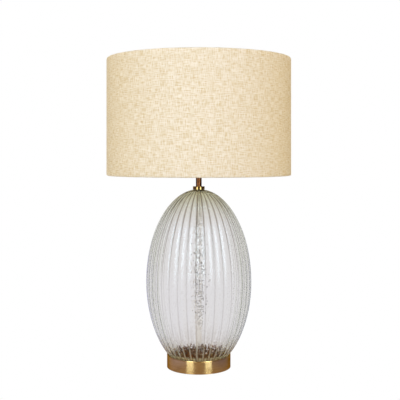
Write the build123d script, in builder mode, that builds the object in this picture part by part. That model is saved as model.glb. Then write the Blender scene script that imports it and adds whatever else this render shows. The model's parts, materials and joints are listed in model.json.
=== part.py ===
from build123d import *

import os
from math import acos, cos, degrees, pi, radians, sin, sqrt

# Table lamp: a fluted glass egg in a brass base, a brass neck with a switched
# screw lampholder, and a linen drum shade on a three-armed wire frame.
# Millimetres, +Z up, origin on the table under the lamp's axis, front towards -Y.

# Driving dimensions

# Centre rod, a hollow threaded tube that clamps the whole stack together
rod_diameter = 10.0
rod_bore = 7.0
rod_stub = 1.0  # rod below the bottom nut
thread_clearance = 0.1
rod_clearance = 0.2

# Tubes that cover the rod, in the glass and above it
tube_wall = 0.8
tube_seat_clearance = 0.1
neck_tube_length = 32.0

# Base
felt_thickness = 2.0
felt_proud = 0.8  # felt below the metal edge
felt_inset = 3.0
weight_thickness = 13.8
weight_clearance = 0.5
base_sheet = 1.2
ledge_width = 2.5  # top edge of the wall, turned in under the plate
plate_thickness = 1.2
plate_clearance = 0.1
rim_depth = 10.0  # from the rim down to the plate under the glass
rim_clearance = 1.5
rim_round = 0.5
foot_round = 0.4

# Fasteners
nut_across_flats = 14.0
nut_thickness = 4.0
nut_chamfer = 0.6
washer_diameter = 24.0
washer_thickness = 1.5
pocket_clearance = 1.5

# Cord inlet bush in the back of the base
bush_bore = 6.5
bush_wall = 1.5
bush_flange = 2.0
bush_flange_thickness = 1.4
bush_lip = 0.7
bush_lip_length = 5.0
bush_clearance = 0.2
channel_clearance = 0.5

# Glass body
glass_equator_radius = 108.8  # over the crests of the flutes
glass_rise = 190.5  # half axis of the egg above the equator
glass_drop = 184.0  # half axis below it
glass_foot_radius = 55.3
glass_wall = 4.0
glass_bore_clearance = 0.5
glass_land = 0.3  # flat at the top, beyond the collar
flute_count = 36
flute_depth = 2.0  # at the equator
flute_turn = 2.0  # degrees from the front to the nearest crest
sections_above = 7
sections_below = 5
gasket_thickness = 1.5
gasket_margin = 1.0
washer_rubber = 1.0
washer_rubber_inset = 0.6

# Neck collar
collar_flange = 6.1  # beyond the tube
collar_height = 6.1
collar_recess = 1.0
collar_round = 0.9

# Lampholder
boss_wall = 2.5
boss_height = 8.0
dome_wall = 1.2
dome_shoulder = 10.0
dome_floor = 2.0
ledge_drop = 2.0
dome_seat = 12.0
wire_room_radius = 12.0
block_radius = 17.5
block_clearance = 0.3
grub_diameter = 3.0
grub_clearance = 0.1
terminal_diameter = 5.0
terminal_height = 2.2
terminal_slot = 0.8
terminal_offset = 7.6
skirt_wall = 1.7
skirt_height = 30.0
skirt_flange = 3.5
skirt_flange_thickness = 3.5
skirt_lip = 2.0
shell_wall = 0.5
shell_height = 23.0
shell_clearance = 0.2  # around the bulb's cap
contact_width = 7.0
contact_strip = 0.4
contact_rise = 3.4
contact_foot = 5.0
contact_reach = 4.0

# Push-bar switch
bar_diameter = 5.0
bar_clearance = 0.1
bar_height = 5.0  # over the ledge that carries the block
bar_travel = 6.0
button_diameter = 9.0
button_length = 4.0
button_round = 1.2
button_gap = 0.3
bar_waist = 0.7
bar_waist_length = 6.0
bar_hole_clearance = 0.4

# Shade
shade_diameter = 380.0
shade_height = 240.0
fitter_recess = 43.7  # fitter above the shade's lower edge
cover_thickness = 0.8
lining_thickness = 0.5
lining_gap = 0.2
hem_length = 12.0
ring_wire = 3.0
ring_clearance = 0.3
ring_end_gap = 0.2
arm_count = 3
arm_wire = 3.5
arm_lift = 0.8  # arm over the middle of the lower ring
arm_straight = 14.0
arm_bend = 14.0
arm_bite = 0.4  # weld into the fitter
arm_clearance = 1.0
notch_clearance = 1.2
fitter_thickness = 1.2
fitter_clearance = 1.5
fitter_width = 7.0

# Clamp ring over the fitter
clamp_gap = 0.3
clamp_clearance = 0.2
clamp_inset = 1.0
clamp_flange_thickness = 2.2
clamp_collar_wall = 2.6
clamp_height = 8.0
grip_count = 18
grip_diameter = 2.4

# Bulb with an E27 cap
cap_diameter = 26.3
cap_height = 20.0
cap_wall = 0.4
cap_clearance = 0.1
tip_radius = 4.8
tip_height = 1.2
tip_gap = 0.2
insulator_height = 2.8
insulator_radius = 6.0
bulb_radius = 30.0
housing_height = 38.0
housing_foot = 0.85  # housing beyond the cap
housing_rim_radius = 28.5
globe_skirt = 14.0  # from the housing's rim to the widest point
globe_wall = 1.4
board_thickness = 1.6
board_inset = 3.0

# Places that follow from the sizes

rod_radius = rod_diameter / 2
rod_hole = rod_radius + rod_clearance
thread_hole = rod_radius + thread_clearance
tube_radius = rod_hole + tube_wall
collar_radius = tube_radius + collar_flange

z_ledge_top = felt_thickness + weight_thickness
z_plate = z_ledge_top + plate_thickness
z_rim = z_plate + rim_depth
z_seat = z_plate + gasket_thickness

# The egg is two half ellipses that meet at the equator; t is the angle along each
land_radius = collar_radius + glass_land
foot_angle = acos(glass_foot_radius / glass_equator_radius)
land_angle = acos(land_radius / glass_equator_radius)
z_equator = z_seat + glass_drop * sin(foot_angle)
z_land = z_equator + glass_rise * sin(land_angle)
valley_share = 1 - flute_depth / glass_equator_radius
inner_equator = glass_equator_radius - flute_depth - glass_wall
inner_rise = glass_rise - glass_wall
inner_drop = glass_drop - glass_wall
inner_foot = inner_equator * sqrt(1 - ((z_equator - z_seat) / inner_drop) ** 2)
glass_bore = tube_radius + glass_bore_clearance
glass_at_rim = glass_equator_radius * sqrt(1 - ((z_equator - z_rim) / glass_drop) ** 2)

base_inner = glass_at_rim + rim_clearance
base_radius = base_inner + base_sheet
ledge_bore = base_inner - ledge_width
weight_radius = base_inner - weight_clearance
pocket_radius = washer_diameter / 2 + pocket_clearance
pocket_depth = washer_thickness + nut_thickness + rod_stub + pocket_clearance
z_pocket = felt_thickness + pocket_depth
z_bottom_nut = z_pocket - washer_thickness - nut_thickness

bush_radius = bush_bore / 2 + bush_wall
channel_width = 2 * (bush_radius + bush_lip + channel_clearance)
z_inlet = felt_thickness + channel_width / 2

z_collar = z_land + washer_rubber
z_collar_top = z_collar + collar_height
z_tube = z_collar_top - collar_recess
z_neck_nut = z_tube + neck_tube_length
z_holder = z_neck_nut + nut_thickness

dome_inner = block_radius + block_clearance
dome_radius = dome_inner + dome_wall
boss_radius = rod_radius + boss_wall
z_shoulder = z_holder + boss_height
z_rod_top = z_shoulder + dome_floor
z_ledge = z_shoulder + dome_shoulder - ledge_drop
z_dome_top = z_ledge + dome_seat
z_bar = z_ledge + bar_height
z_fitter = z_dome_top + skirt_flange_thickness
skirt_radius = dome_inner + skirt_wall
flange_radius = skirt_radius + skirt_flange
cap_radius = cap_diameter / 2
shell_inner = cap_radius + shell_clearance
shell_outer = shell_inner + shell_wall

shade_radius = shade_diameter / 2
roll_inner = ring_wire / 2 + ring_clearance
roll_outer = roll_inner + cover_thickness
ring_radius = shade_radius - roll_outer
z_shade = z_fitter - fitter_recess
z_shade_top = z_shade + shade_height
z_low_ring = z_shade + roll_outer
z_high_ring = z_shade_top - roll_outer
z_arm_out = z_low_ring + arm_lift
z_arm_in = z_fitter - arm_wire / 2 + arm_bite
fitter_bore = skirt_radius + fitter_clearance
fitter_radius = fitter_bore + fitter_width
arm_end = ring_radius - ring_wire / 2 - ring_end_gap
z_clamp = z_fitter + fitter_thickness + clamp_gap
clamp_bore = skirt_radius + clamp_clearance
clamp_radius = fitter_radius - clamp_inset

z_contact = z_fitter + contact_rise
z_tip = z_contact + tip_gap
z_insulator = z_tip + tip_height
z_cap = z_insulator + insulator_height
z_housing = z_cap + cap_height
z_globe = z_housing + housing_height
z_widest = z_globe + globe_skirt
plug_radius = cap_radius - cap_wall - cap_clearance

pieces = {}


def egg_points(equator, drop, rise, foot, top):
    """Points (radius, height) up the egg, from one angle below its equator to one above."""
    below = [foot * (index / sections_below - 1) for index in range(sections_below)]
    above = [top * index / sections_above for index in range(sections_above + 1)]
    low_points = [(equator * cos(angle), z_equator + drop * sin(angle)) for angle in below]
    return low_points + [(equator * cos(angle), z_equator + rise * sin(angle)) for angle in above]


def flute_outline(radius):
    """Closed outline of round flutes whose crests lie on a circle."""
    step = 2 * pi / flute_count
    start = radians(flute_turn - 90)
    valley = radius * valley_share
    with BuildLine() as outline:
        for index in range(flute_count):
            crest_angle = start + index * step
            low, high = crest_angle - step / 2, crest_angle + step / 2
            ThreePointArc(
                (valley * cos(low), valley * sin(low)),
                (radius * cos(crest_angle), radius * sin(crest_angle)),
                (valley * cos(high), valley * sin(high)),
            )
    return outline.line


def hex_nut(z_bottom):
    """Hexagonal lamp nut on the rod, chamfered on both faces."""
    with BuildPart() as nut:
        with BuildSketch(Plane.XY.offset(z_bottom)):
            RegularPolygon(nut_across_flats / 2, 6, major_radius=False)
            Circle(thread_hole, mode=Mode.SUBTRACT)
        extrude(amount=nut_thickness)
        with BuildSketch(Plane.XZ) as cone:
            with BuildLine():
                corner = nut_across_flats / sqrt(3)
                flat = corner - nut_chamfer
                z_top = z_bottom + nut_thickness
                Polyline(
                    (0, z_bottom),
                    (flat, z_bottom),
                    (corner, z_bottom + nut_chamfer),
                    (corner, z_top - nut_chamfer),
                    (flat, z_top),
                    (0, z_top),
                    close=True,
                )
            make_face()
        revolve(axis=Axis.Z, mode=Mode.INTERSECT)
    return nut


# Base

with BuildPart() as felt_pad:
    with BuildSketch():
        Circle(base_inner - felt_inset)
    extrude(amount=felt_thickness)
pieces["felt_pad"] = felt_pad

# Outer wall, its top edge turned in as a ledge
with BuildPart() as base_shell:
    with BuildSketch(Plane.XZ):
        with BuildLine():
            Polyline(
                (ledge_bore, z_ledge_top),
                (ledge_bore, z_ledge_top - base_sheet),
                (base_inner, z_ledge_top - base_sheet),
                (base_inner, felt_proud),
                (base_radius, felt_proud),
                (base_radius, z_ledge_top),
                close=True,
            )
        make_face()
    revolve(axis=Axis.Z)
    fillet(base_shell.edges().group_by(Axis.Z)[0].sort_by(SortBy.RADIUS)[-1], foot_round)
    with BuildSketch(Plane.XZ.offset(-base_radius - bush_flange)):
        with Locations((0, z_inlet)):
            Circle(bush_radius + bush_clearance)
    extrude(amount=2 * bush_flange + base_sheet, mode=Mode.SUBTRACT)
pieces["base_shell"] = base_shell

# Rim of rolled strip round the foot of the glass, brazed on the ledge and brushed flush with the wall
with BuildPart() as base_rim:
    with BuildSketch(Plane.XY.offset(z_ledge_top)):
        Circle(base_radius)
        Circle(base_inner, mode=Mode.SUBTRACT)
    extrude(amount=z_rim - z_ledge_top)
    fillet(base_rim.edges().group_by(Axis.Z)[-1], rim_round)
pieces["base_rim"] = base_rim

# Plate that the glass stands on, held on the ledge by the weight below
with BuildPart() as seat_plate:
    with BuildSketch(Plane.XY.offset(z_ledge_top)):
        Circle(base_inner - plate_clearance)
        Circle(rod_hole, mode=Mode.SUBTRACT)
    extrude(amount=plate_thickness)
pieces["seat_plate"] = seat_plate

# Cast weight, rebated for the ledge, with a pocket for the nut and a channel for the cord
with BuildPart() as base_weight:
    with BuildSketch(Plane.XY.offset(felt_thickness)):
        Circle(weight_radius)
        Circle(rod_hole, mode=Mode.SUBTRACT)
    extrude(amount=weight_thickness)
    with BuildSketch(Plane.XY.offset(z_ledge_top)):
        Circle(weight_radius)
        Circle(ledge_bore - weight_clearance, mode=Mode.SUBTRACT)
    extrude(amount=-base_sheet, mode=Mode.SUBTRACT)
    with BuildSketch(Plane.XY.offset(felt_thickness)):
        Circle(pocket_radius)
    extrude(amount=pocket_depth, mode=Mode.SUBTRACT)
    with BuildSketch(Plane.XY.offset(felt_thickness)):
        with Locations((0, base_radius / 2)):
            Rectangle(channel_width, base_radius)
    extrude(amount=min(channel_width, pocket_depth + nut_thickness), mode=Mode.SUBTRACT)
pieces["base_weight"] = base_weight

with BuildPart() as base_washer:
    with BuildSketch(Plane.XY.offset(z_pocket - washer_thickness)):
        Circle(washer_diameter / 2)
        Circle(rod_hole, mode=Mode.SUBTRACT)
    extrude(amount=washer_thickness)
pieces["base_washer"] = base_washer

pieces["base_nut"] = hex_nut(z_bottom_nut)

# Snap-in bush: flange outside the wall, shank through it, lip inside
with BuildPart() as cord_bush:
    y_out = base_radius + bush_clearance / 2
    y_in = sqrt(base_inner**2 - (bush_radius + bush_lip) ** 2) - bush_clearance
    with BuildSketch(Plane.XZ.offset(-y_out)):
        with Locations((0, z_inlet)):
            Circle(bush_radius + bush_flange)
    extrude(amount=-bush_flange_thickness)
    fillet(cord_bush.edges().sort_by(Axis.Y)[-1], bush_flange_thickness / 3)
    with BuildSketch(Plane.XZ.offset(-y_out)):
        with Locations((0, z_inlet)):
            Circle(bush_radius)
    extrude(amount=y_out - y_in)
    with BuildSketch(Plane.XZ.offset(-y_in)):
        with Locations((0, z_inlet)):
            Circle(bush_radius + bush_lip)
    extrude(amount=bush_lip_length, taper=degrees(bush_lip / bush_lip_length))
    with BuildSketch(Plane.XZ.offset(-y_out - bush_flange_thickness)):
        with Locations((0, z_inlet)):
            Circle(bush_bore / 2)
    extrude(amount=bush_flange_thickness + y_out - y_in + bush_lip_length, mode=Mode.SUBTRACT)
pieces["cord_bush"] = cord_bush

# Centre column

with BuildPart() as centre_rod:
    z_rod = z_bottom_nut - rod_stub
    with BuildSketch(Plane.XY.offset(z_rod)):
        Circle(rod_radius)
        Circle(rod_bore / 2, mode=Mode.SUBTRACT)
    extrude(amount=z_rod_top - z_rod)
pieces["centre_rod"] = centre_rod

with BuildPart() as rod_sleeve:
    with BuildSketch(Plane.XY.offset(z_plate)):
        Circle(tube_radius)
        Circle(rod_hole, mode=Mode.SUBTRACT)
    extrude(amount=z_collar + collar_recess - z_plate)
pieces["rod_sleeve"] = rod_sleeve

# Glass body

with BuildPart() as glass_gasket:
    with BuildSketch(Plane.XY.offset(z_plate)):
        Circle(glass_foot_radius + gasket_margin)
        Circle(inner_foot - gasket_margin, mode=Mode.SUBTRACT)
    extrude(amount=gasket_thickness)
pieces["glass_gasket"] = glass_gasket

# The fluted outside is lofted through outlines along the egg, and the smooth
# inside is cut from it, so the wall is thick at each crest and thin in each valley
with BuildPart() as glass_body:
    for radius, z_section in egg_points(glass_equator_radius, glass_drop, glass_rise, foot_angle, land_angle):
        with BuildSketch(Plane.XY.offset(z_section)):
            add(flute_outline(radius))
            make_face()
    loft()
    with BuildSketch(Plane.XZ):
        with BuildLine():
            cavity_foot = acos(inner_foot / inner_equator)
            cavity_top = acos(glass_bore / inner_equator)
            wall_line = Spline(*egg_points(inner_equator, inner_drop, inner_rise, cavity_foot, cavity_top))
            z_over = z_equator + glass_rise
            Polyline(wall_line @ 1, (glass_bore, z_over), (0, z_over), (0, z_seat), wall_line @ 0)
        make_face()
    revolve(axis=Axis.Z, mode=Mode.SUBTRACT)
pieces["glass_body"] = glass_body

with BuildPart() as top_gasket:
    with BuildSketch(Plane.XY.offset(z_land)):
        Circle(collar_radius - washer_rubber_inset)
        Circle(glass_bore, mode=Mode.SUBTRACT)
    extrude(amount=washer_rubber)
pieces["top_gasket"] = top_gasket

# Neck

# Turned collar, recessed on both faces for the ends of the tubes
with BuildPart() as neck_collar:
    with BuildSketch(Plane.XY.offset(z_collar)):
        Circle(collar_radius)
        Circle(rod_hole, mode=Mode.SUBTRACT)
    extrude(amount=collar_height)
    fillet(neck_collar.edges().group_by(Axis.Z)[-1].sort_by(SortBy.RADIUS)[-1], collar_round)
    for z_recess in (z_collar, z_tube):
        with BuildSketch(Plane.XY.offset(z_recess)):
            Circle(tube_radius + tube_seat_clearance)
        extrude(amount=collar_recess, mode=Mode.SUBTRACT)
pieces["neck_collar"] = neck_collar

with BuildPart() as neck_tube:
    with BuildSketch(Plane.XY.offset(z_tube)):
        Circle(tube_radius)
        Circle(rod_hole, mode=Mode.SUBTRACT)
    extrude(amount=neck_tube_length)
pieces["neck_tube"] = neck_tube

pieces["neck_nut"] = hex_nut(z_neck_nut)

# Lampholder

# Turned cap: a boss on the rod, a round shoulder and a straight wall, with a
# ledge inside for the terminal block and a hole each side for the push bar
with BuildPart() as lampholder_dome:
    with BuildSketch(Plane.XZ):
        with BuildLine():
            shoulder_start = (dome_radius - dome_shoulder, z_shoulder)
            shoulder_end = (dome_radius, z_shoulder + dome_shoulder)
            Polyline((thread_hole, z_holder), (boss_radius, z_holder), (boss_radius, z_shoulder), shoulder_start)
            RadiusArc(shoulder_start, shoulder_end, -dome_shoulder)
            Polyline(
                shoulder_end,
                (dome_radius, z_dome_top),
                (dome_inner, z_dome_top),
                (dome_inner, z_ledge),
                (wire_room_radius, z_ledge),
                (wire_room_radius, z_rod_top),
                (thread_hole, z_rod_top),
                (thread_hole, z_holder),
            )
        make_face()
    revolve(axis=Axis.Z)
    with BuildSketch(Plane.YZ.offset(-dome_radius)):
        with Locations((0, z_bar)):
            Circle(bar_diameter / 2 + bar_hole_clearance)
    extrude(amount=2 * dome_radius, mode=Mode.SUBTRACT)
    with BuildSketch(Plane.XZ):
        with Locations((0, z_holder + boss_height / 2)):
            Circle(grub_diameter / 2 + grub_clearance)
    extrude(amount=-boss_radius, mode=Mode.SUBTRACT)
pieces["lampholder_dome"] = lampholder_dome

with BuildPart() as rod_grub_screw:
    with BuildSketch(Plane.XZ.offset(-thread_hole)):
        with Locations((0, z_holder + boss_height / 2)):
            Circle(grub_diameter / 2)
    extrude(amount=thread_hole - boss_radius)
    with BuildSketch(Plane.XZ.offset(-boss_radius)):
        with Locations((0, z_holder + boss_height / 2)):
            Rectangle(grub_diameter, terminal_slot)
    extrude(amount=terminal_slot, mode=Mode.SUBTRACT)
pieces["rod_grub_screw"] = rod_grub_screw

# Moulded block that guides the push bar and carries the contacts
with BuildPart() as terminal_block:
    with BuildSketch(Plane.XY.offset(z_ledge)):
        Circle(block_radius)
    extrude(amount=z_fitter - z_ledge)
    with BuildSketch(Plane.YZ.offset(-block_radius)):
        with Locations((0, z_bar)):
            Circle(bar_diameter / 2 + bar_clearance)
    extrude(amount=2 * block_radius, mode=Mode.SUBTRACT)
pieces["terminal_block"] = terminal_block

with BuildPart() as terminal_screws:
    with BuildSketch(Plane.XY.offset(z_ledge)):
        with Locations((0, terminal_offset), (0, -terminal_offset)):
            Circle(terminal_diameter / 2)
    extrude(amount=-terminal_height)
    with BuildSketch(Plane.XY.offset(z_ledge - terminal_height)):
        with Locations((0, terminal_offset), (0, -terminal_offset)):
            Rectangle(terminal_diameter, terminal_slot)
    extrude(amount=terminal_slot, mode=Mode.SUBTRACT)
pieces["terminal_screws"] = terminal_screws

# Skirt with the flange that the shade's fitter rests on and a lip over the block
with BuildPart() as lampholder_skirt:
    with BuildSketch(Plane.XZ):
        with BuildLine():
            lip_bore = shell_outer + block_clearance
            Polyline(
                (dome_inner, z_dome_top),
                (flange_radius, z_dome_top),
                (flange_radius, z_fitter),
                (skirt_radius, z_fitter),
                (skirt_radius, z_dome_top + skirt_height),
                (dome_inner, z_dome_top + skirt_height),
                (dome_inner, z_fitter + skirt_lip),
                (lip_bore, z_fitter + skirt_lip),
                (lip_bore, z_fitter),
                (dome_inner, z_fitter),
                close=True,
            )
        make_face()
    revolve(axis=Axis.Z)
    chamfer(lampholder_skirt.edges().group_by(Axis.Z)[-1].sort_by(SortBy.RADIUS)[-1], skirt_wall / 3)
pieces["lampholder_skirt"] = lampholder_skirt

with BuildPart() as screw_shell:
    with BuildSketch(Plane.XY.offset(z_fitter)):
        Circle(shell_outer)
        Circle(shell_inner, mode=Mode.SUBTRACT)
    extrude(amount=shell_height)
pieces["screw_shell"] = screw_shell

# Sprung tongue under the bulb's tip
with BuildPart() as centre_contact:
    with BuildSketch(Plane.YZ):
        with BuildLine():
            low, high = z_fitter, z_contact - contact_strip
            step_start, step_end = -contact_reach - contact_rise, -contact_reach
            outer = -contact_reach - contact_rise - contact_foot
            Polyline(
                (outer, low),
                (step_start, low),
                (step_end, high),
                (contact_reach, high),
                (contact_reach, high + contact_strip),
                (step_end - contact_strip / 2, high + contact_strip),
                (step_start - contact_strip / 2, low + contact_strip),
                (outer, low + contact_strip),
                close=True,
            )
        make_face()
    extrude(amount=contact_width / 2, both=True)
pieces["centre_contact"] = centre_contact

# Push bar with a waist for the switch and a button on each end
with BuildPart() as switch_push_bar:
    near = dome_radius + button_gap
    far = -dome_radius - button_gap - bar_travel
    with BuildSketch(Plane.YZ.offset(far)):
        with Locations((0, z_bar)):
            Circle(bar_diameter / 2)
    extrude(amount=near - far)
    for x_inner, length in ((near, button_length), (far, -button_length)):
        with BuildSketch(Plane.YZ.offset(x_inner)):
            with Locations((0, z_bar)):
                Circle(button_diameter / 2)
        extrude(amount=length)
    fillet(switch_push_bar.edges().group_by(Axis.X)[-1], button_round)
    fillet(switch_push_bar.edges().group_by(Axis.X)[0], button_round)
    with BuildSketch(Plane.YZ.offset((near + far - bar_waist_length) / 2)):
        with Locations((0, z_bar)):
            Circle(bar_diameter / 2)
            Circle(bar_diameter / 2 - bar_waist, mode=Mode.SUBTRACT)
    extrude(amount=bar_waist_length, mode=Mode.SUBTRACT)
pieces["switch_push_bar"] = switch_push_bar

# Threaded ring that clamps the shade's fitter, with grip notches round its collar
with BuildPart() as shade_clamp_ring:
    with BuildSketch(Plane.XZ):
        with BuildLine():
            collar_wall = clamp_bore + clamp_collar_wall
            Polyline(
                (clamp_bore, z_clamp),
                (clamp_radius, z_clamp),
                (clamp_radius, z_clamp + clamp_flange_thickness),
                (collar_wall, z_clamp + clamp_flange_thickness),
                (collar_wall, z_clamp + clamp_height),
                (clamp_bore, z_clamp + clamp_height),
                close=True,
            )
        make_face()
    revolve(axis=Axis.Z)
    with BuildSketch(Plane.XY.offset(z_clamp + clamp_flange_thickness)):
        with PolarLocations(clamp_bore + clamp_collar_wall, grip_count):
            Circle(grip_diameter / 2)
    extrude(amount=clamp_height, mode=Mode.SUBTRACT)
pieces["shade_clamp_ring"] = shade_clamp_ring

# Shade

# Linen wall rolled over a wire at each edge and turned down inside as a hem,
# with a notch in the lower hem for each arm of the frame
with BuildPart() as shade_cover:
    hem_out, hem_in = ring_radius - roll_inner, ring_radius - roll_outer
    wall_in = ring_radius + roll_inner
    with BuildSketch(Plane.XZ):
        with BuildLine():
            Line((shade_radius, z_low_ring), (shade_radius, z_high_ring))
            ThreePointArc((shade_radius, z_high_ring), (ring_radius, z_shade_top), (hem_in, z_high_ring))
            Polyline(
                (hem_in, z_high_ring),
                (hem_in, z_high_ring - hem_length),
                (hem_out, z_high_ring - hem_length),
                (hem_out, z_high_ring),
            )
            ThreePointArc((hem_out, z_high_ring), (ring_radius, z_high_ring + roll_inner), (wall_in, z_high_ring))
            Line((wall_in, z_high_ring), (wall_in, z_low_ring))
            ThreePointArc((wall_in, z_low_ring), (ring_radius, z_low_ring - roll_inner), (hem_out, z_low_ring))
            Polyline(
                (hem_out, z_low_ring),
                (hem_out, z_low_ring + hem_length),
                (hem_in, z_low_ring + hem_length),
                (hem_in, z_low_ring),
            )
            ThreePointArc((hem_in, z_low_ring), (ring_radius, z_shade), (shade_radius, z_low_ring))
        make_face()
    revolve(axis=Axis.Z)
    notch_width = arm_wire + 2 * notch_clearance
    notch_bottom = z_arm_out - arm_wire / 2 - ring_end_gap
    with BuildSketch(Plane.XY.offset(notch_bottom)):
        with PolarLocations(ring_radius - roll_outer, arm_count, start_angle=90):
            Rectangle(2 * (roll_outer - ring_clearance), notch_width)
    extrude(amount=z_low_ring + hem_length + notch_clearance - notch_bottom, mode=Mode.SUBTRACT)
pieces["shade_cover"] = shade_cover

# Stiff translucent sheet that the linen is laminated to
with BuildPart() as shade_lining:
    lining_radius = shade_radius - cover_thickness - lining_gap
    z_lining = z_low_ring + ring_wire / 2 + ring_end_gap
    z_lining_top = z_high_ring - ring_wire / 2 - ring_end_gap
    with BuildSketch(Plane.XY.offset(z_lining)):
        Circle(lining_radius)
        Circle(lining_radius - lining_thickness, mode=Mode.SUBTRACT)
    extrude(amount=z_lining_top - z_lining)
pieces["shade_lining"] = shade_lining

with BuildPart() as shade_top_ring:
    with Locations((0, 0, z_high_ring)):
        Torus(ring_radius, ring_wire / 2)
pieces["shade_top_ring"] = shade_top_ring

with BuildPart() as shade_bottom_ring:
    with Locations((0, 0, z_low_ring)):
        Torus(ring_radius, ring_wire / 2)
pieces["shade_bottom_ring"] = shade_bottom_ring

# Flat fitter with three bent wire arms welded under it
with BuildPart() as shade_spider:
    with BuildSketch(Plane.XY.offset(z_fitter)):
        Circle(fitter_radius)
        Circle(fitter_bore, mode=Mode.SUBTRACT)
    extrude(amount=fitter_thickness)
    for index in range(arm_count):
        side = Plane.XZ.rotated((0, 0, 90 + index * 360 / arm_count))
        with BuildLine(side):
            arm_path = FilletPolyline(
                (arm_end, z_arm_out),
                (arm_end - arm_straight, z_arm_out),
                (fitter_radius + arm_straight, z_arm_in),
                (flange_radius + arm_clearance, z_arm_in),
                radius=arm_bend,
            )
        with BuildSketch(Plane(arm_path @ 0, z_dir=arm_path % 0)):
            Circle(arm_wire / 2)
        sweep(path=arm_path)
pieces["shade_spider"] = shade_spider

# Bulb

with BuildPart() as bulb_tip_contact:
    with BuildSketch(Plane.XY.offset(z_tip)):
        Circle(tip_radius)
    extrude(amount=tip_height)
    fillet(bulb_tip_contact.edges().sort_by(Axis.Z)[0], tip_height / 2)
pieces["bulb_tip_contact"] = bulb_tip_contact

with BuildPart() as bulb_insulator:
    with BuildSketch(Plane.XY.offset(z_insulator)):
        Circle(insulator_radius)
    with BuildSketch(Plane.XY.offset(z_cap)):
        Circle(plug_radius)
    loft()
pieces["bulb_insulator"] = bulb_insulator

with BuildPart() as bulb_screw_shell:
    with BuildSketch(Plane.XY.offset(z_cap)):
        Circle(cap_radius)
        Circle(cap_radius - cap_wall, mode=Mode.SUBTRACT)
    extrude(amount=cap_height)
pieces["bulb_screw_shell"] = bulb_screw_shell

# Plug inside the cap and the flared housing above it
with BuildPart() as bulb_housing:
    with BuildSketch(Plane.XZ):
        with BuildLine():
            foot = (cap_radius + housing_foot, z_housing)
            rim = (housing_rim_radius, z_globe)
            Polyline((0, z_cap), (plug_radius, z_cap), (plug_radius, z_housing), foot)
            flare = Spline(foot, rim, tangents=((0, 1), (1, 2)))
            Polyline(rim, (0, z_globe), (0, z_cap))
        make_face()
    revolve(axis=Axis.Z)
pieces["bulb_housing"] = bulb_housing

with BuildPart() as bulb_led_board:
    with BuildSketch(Plane.XY.offset(z_globe)):
        Circle(housing_rim_radius - globe_wall - board_inset)
    extrude(amount=board_thickness)
pieces["bulb_led_board"] = bulb_led_board

with BuildPart() as bulb_globe:
    with BuildSketch(Plane.XZ):
        with BuildLine():
            top = (0, z_widest + bulb_radius)
            inner_top = (0, z_widest + bulb_radius - globe_wall)
            dome_line = CenterArc((0, z_widest), bulb_radius, 0, 90)
            TangentArc((bulb_radius, z_widest), (housing_rim_radius, z_globe), tangent=(0, -1))
            Line((housing_rim_radius, z_globe), (housing_rim_radius - globe_wall, z_globe))
            TangentArc(
                (bulb_radius - globe_wall, z_widest), (housing_rim_radius - globe_wall, z_globe), tangent=(0, -1)
            )
            CenterArc((0, z_widest), bulb_radius - globe_wall, 0, 90)
            Line(inner_top, top)
        make_face()
    revolve(axis=Axis.Z)
pieces["bulb_globe"] = bulb_globe

os.makedirs("parts", exist_ok=True)
for name, piece in pieces.items():
    piece.part.label = name
    export_step(piece.part, f"parts/{name}.step")

print("base diameter", round(2 * base_radius, 1), "rim height", round(z_rim, 1))
print("glass top", round(z_land, 1), "shade from", round(z_shade, 1), "to", round(z_shade_top, 1))
print("lampholder", round(z_holder, 1), "fitter", round(z_fitter, 1), "bar", round(z_bar, 1), "tip", round(z_tip, 1))
print("cord inlet height", round(z_inlet, 2), "bulb top", round(z_widest + bulb_radius, 1))
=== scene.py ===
import json
from math import acos, atan2, cos, degrees, pi, radians, sin, sqrt

import bmesh
import bpy
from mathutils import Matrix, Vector


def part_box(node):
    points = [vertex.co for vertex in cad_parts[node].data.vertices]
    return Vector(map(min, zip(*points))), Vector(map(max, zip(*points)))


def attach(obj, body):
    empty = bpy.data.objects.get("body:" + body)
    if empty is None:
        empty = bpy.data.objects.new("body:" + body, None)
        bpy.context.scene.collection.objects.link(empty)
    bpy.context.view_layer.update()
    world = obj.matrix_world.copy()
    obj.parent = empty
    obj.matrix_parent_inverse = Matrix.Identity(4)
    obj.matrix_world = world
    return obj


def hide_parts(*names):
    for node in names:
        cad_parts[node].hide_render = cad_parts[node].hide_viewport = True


# Table lamp: a fluted, seeded glass egg in a brushed brass base, a dark brass neck,
# a push-bar lampholder with its bulb, and a linen drum shade on a wire frame.
# Metres, +Z up, front towards -Y, in the same frame as the solids.

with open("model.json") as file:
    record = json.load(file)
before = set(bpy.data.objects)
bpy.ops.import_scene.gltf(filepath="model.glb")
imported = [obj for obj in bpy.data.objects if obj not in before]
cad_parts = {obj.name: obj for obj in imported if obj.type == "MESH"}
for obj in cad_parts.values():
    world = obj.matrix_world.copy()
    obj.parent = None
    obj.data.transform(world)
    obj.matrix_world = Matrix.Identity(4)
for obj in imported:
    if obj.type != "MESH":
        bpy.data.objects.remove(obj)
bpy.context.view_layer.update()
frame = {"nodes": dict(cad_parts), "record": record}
record = frame["record"]
nodes = frame["nodes"]
MM = 0.001
MERGE_DISTANCE = 0.001 * MM
SMOOTH_ANGLE = radians(35)


# Helpers

def linear(hex_colour):
    """Linear RGBA from an sRGB hex colour."""
    parts = [int(hex_colour[start:start + 2], 16) / 255 for start in (1, 3, 5)]
    return [part / 12.92 if part <= 0.04045 else ((part + 0.055) / 1.055) ** 2.4 for part in parts] + [1.0]


def scale_of(*sizes):
    """Texture scale, one number or one for each axis, for cells of these sizes in millimetres."""
    scales = [1 / (size * MM) for size in sizes]
    return scales[0] if len(scales) == 1 else scales


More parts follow.
